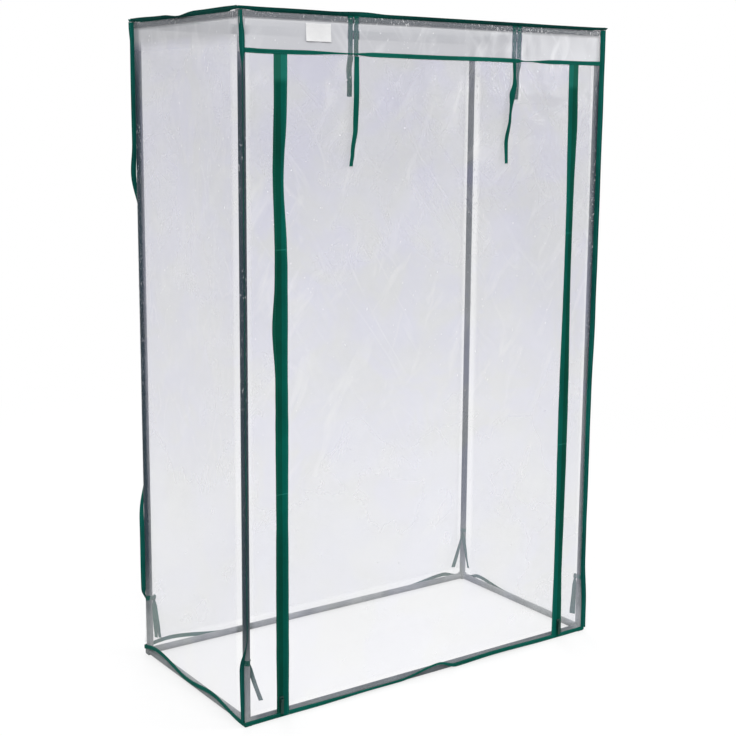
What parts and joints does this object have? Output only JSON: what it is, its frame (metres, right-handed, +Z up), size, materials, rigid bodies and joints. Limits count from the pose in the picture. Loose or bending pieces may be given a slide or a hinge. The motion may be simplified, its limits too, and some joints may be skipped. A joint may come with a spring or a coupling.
{
  "type": "tomato greenhouse",
  "caption": "Upright rectangular tomato greenhouse: clear film cover with green bindings on a steel tube frame, with a zipped front door that gathers up under ribbon ties.",
  "frame": {"origin": "on the floor, under the middle of the frame", "axes": "+Z up, +X to the right seen from the front, the door faces -Y"},
  "size_m": [1, 0.5013, 1.5],
  "materials": {
    "tube_paint": "slate powder coat",
    "connector_plastic": "moulded",
    "clear_film": "clear, wrinkled",
    "green_binding": "woven binding",
    "zip_tape": "woven tape",
    "zip_slider_enamel": "dark enamel",
    "tie_ribbon": "ribbon",
    "label_cloth": "blank"
  },
  "bodies": {
    "frame_and_cover": {"post_lower_front_left": "tube_paint", "post_upper_front_left": "tube_paint", "post_lower_front_right": "tube_paint", "post_upper_front_right": "tube_paint", "post_lower_back_left": "tube_paint", "post_upper_back_left": "tube_paint", "post_lower_back_right": "tube_paint", "post_upper_back_right": "tube_paint", "top_rail_front": "tube_paint", "top_rail_back": "tube_paint", "top_rail_left": "tube_paint", "top_rail_right": "tube_paint", "bottom_rail_front": "tube_paint", "bottom_rail_back": "tube_paint", "bottom_rail_left": "tube_paint", "bottom_rail_right": "tube_paint", "top_corner_connectors": "connector_plastic", "bottom_corner_connectors": "connector_plastic", "roof_film": "clear_film", "back_film": "clear_film", "valance_film": "clear_film", "left_film": "clear_film", "front_left_film": "clear_film", "right_film": "clear_film", "front_right_film": "clear_film", "corner_binding": "green_binding", "top_edge_binding": "green_binding", "hem_binding": "green_binding", "valance_binding": "green_binding", "blank_label": "label_cloth", "zip_tape_left": "zip_tape", "zip_tape_right": "zip_tape", "tie_roots": "tie_ribbon", "corner_ties": "tie_ribbon"},
    "door_band_1": {"door_film_1": "clear_film", "door_zip_edge_1": "zip_tape", "outer_tie_left": "tie_ribbon", "outer_tie_right": "tie_ribbon"},
    "door_band_2": {"door_film_2": "clear_film", "door_zip_edge_2": "zip_tape"},
    "door_band_3": {"door_film_3": "clear_film", "door_zip_edge_3": "zip_tape"},
    "door_band_4": {"door_film_4": "clear_film", "door_zip_edge_4": "zip_tape"},
    "door_band_5": {"door_film_5": "clear_film", "door_zip_edge_5": "zip_tape"},
    "door_band_6": {"door_film_6": "clear_film", "door_zip_edge_6": "zip_tape"},
    "door_band_7": {"door_film_7": "clear_film", "door_zip_edge_7": "zip_tape", "door_hem": "green_binding"},
    "outer_tie_tail_left": {"outer_tie_tail_left": "tie_ribbon"},
    "inner_tie_left": {"inner_tie_left": "tie_ribbon"},
    "zip_slider_left": {"zip_slider_left": "zip_slider_enamel"},
    "zip_pull_left": {"zip_pull_left": "zip_slider_enamel"},
    "outer_tie_tail_right": {"outer_tie_tail_right": "tie_ribbon"},
    "inner_tie_right": {"inner_tie_right": "tie_ribbon"},
    "zip_slider_right": {"zip_slider_right": "zip_slider_enamel"},
    "zip_pull_right": {"zip_pull_right": "zip_slider_enamel"}
  },
  "joints": [
    {"name": "door_gather", "type": "hinge", "parent": "frame_and_cover", "child": "door_band_1", "pos_m": [0, -0.24398, 1.4097], "axis": [-1, 0, 0], "range_deg": [0, 82]},
    {"name": "door_pleat_2", "type": "hinge", "parent": "door_band_1", "child": "door_band_2", "pos_m": [0, -0.24318, 1.2086], "axis": [-1, 0, 0], "range_deg": [-164, 0]},
    {"name": "door_pleat_3", "type": "hinge", "parent": "door_band_2", "child": "door_band_3", "pos_m": [0, -0.24398, 1.0075], "axis": [-1, 0, 0], "range_deg": [0, 164]},
    {"name": "door_pleat_4", "type": "hinge", "parent": "door_band_3", "child": "door_band_4", "pos_m": [0, -0.24318, 0.8064], "axis": [-1, 0, 0], "range_deg": [-164, 0]},
    {"name": "door_pleat_5", "type": "hinge", "parent": "door_band_4", "child": "door_band_5", "pos_m": [0, -0.24398, 0.6053], "axis": [-1, 0, 0], "range_deg": [0, 164]},
    {"name": "door_pleat_6", "type": "hinge", "parent": "door_band_5", "child": "door_band_6", "pos_m": [0, -0.24318, 0.4042], "axis": [-1, 0, 0], "range_deg": [-164, 0]},
    {"name": "door_pleat_7", "type": "hinge", "parent": "door_band_6", "child": "door_band_7", "pos_m": [0, -0.24398, 0.2031], "axis": [-1, 0, 0], "range_deg": [0, 164]},
    {"name": "outer_tie_hang_left", "type": "hinge", "parent": "door_band_1", "child": "outer_tie_tail_left", "pos_m": [-0.216, -0.24408, 1.2074], "axis": [-1, 0, 0], "range_deg": [-82, 0]},
    {"name": "outer_tie_hang_right", "type": "hinge", "parent": "door_band_1", "child": "outer_tie_tail_right", "pos_m": [0.216, -0.24408, 1.2074], "axis": [-1, 0, 0], "range_deg": [-82, 0]},
    {"name": "inner_tie_swing_left", "type": "hinge", "parent": "frame_and_cover", "child": "inner_tie_left", "pos_m": [-0.2305, -0.24278, 1.40985], "axis": [1, 0, 0], "range_deg": [0, 100]},
    {"name": "zip_run_left", "type": "slide", "parent": "frame_and_cover", "child": "zip_slider_left", "axis": [0, 0, 1], "range_m": [0, 1.354]},
    {"name": "zip_pull_swing_left", "type": "hinge", "parent": "zip_slider_left", "child": "zip_pull_left", "pos_m": [-0.4048, -0.24928, 0.043], "axis": [-1, 0, 0], "range_deg": [0, 150]},
    {"name": "inner_tie_swing_right", "type": "hinge", "parent": "frame_and_cover", "child": "inner_tie_right", "pos_m": [0.2305, -0.24278, 1.40985], "axis": [1, 0, 0], "range_deg": [0, 100]},
    {"name": "zip_run_right", "type": "slide", "parent": "frame_and_cover", "child": "zip_slider_right", "axis": [0, 0, 1], "range_m": [0, 1.354]},
    {"name": "zip_pull_swing_right", "type": "hinge", "parent": "zip_slider_right", "child": "zip_pull_right", "pos_m": [0.4048, -0.24928, 0.043], "axis": [-1, 0, 0], "range_deg": [0, 150]}
  ],
  "couplings": [
    {"joint": "door_pleat_2", "follows": "door_gather", "ratio": -2},
    {"joint": "door_pleat_3", "follows": "door_gather", "ratio": 2},
    {"joint": "door_pleat_4", "follows": "door_gather", "ratio": -2},
    {"joint": "door_pleat_5", "follows": "door_gather", "ratio": 2},
    {"joint": "door_pleat_6", "follows": "door_gather", "ratio": -2},
    {"joint": "door_pleat_7", "follows": "door_gather", "ratio": 2},
    {"joint": "outer_tie_hang_left", "follows": "door_gather", "ratio": -1},
    {"joint": "outer_tie_hang_right", "follows": "door_gather", "ratio": -1},
    {"joint": "zip_run_left", "follows": "door_gather", "m_per_rad": 0.946},
    {"joint": "zip_run_right", "follows": "door_gather", "m_per_rad": 0.946}
  ]
}
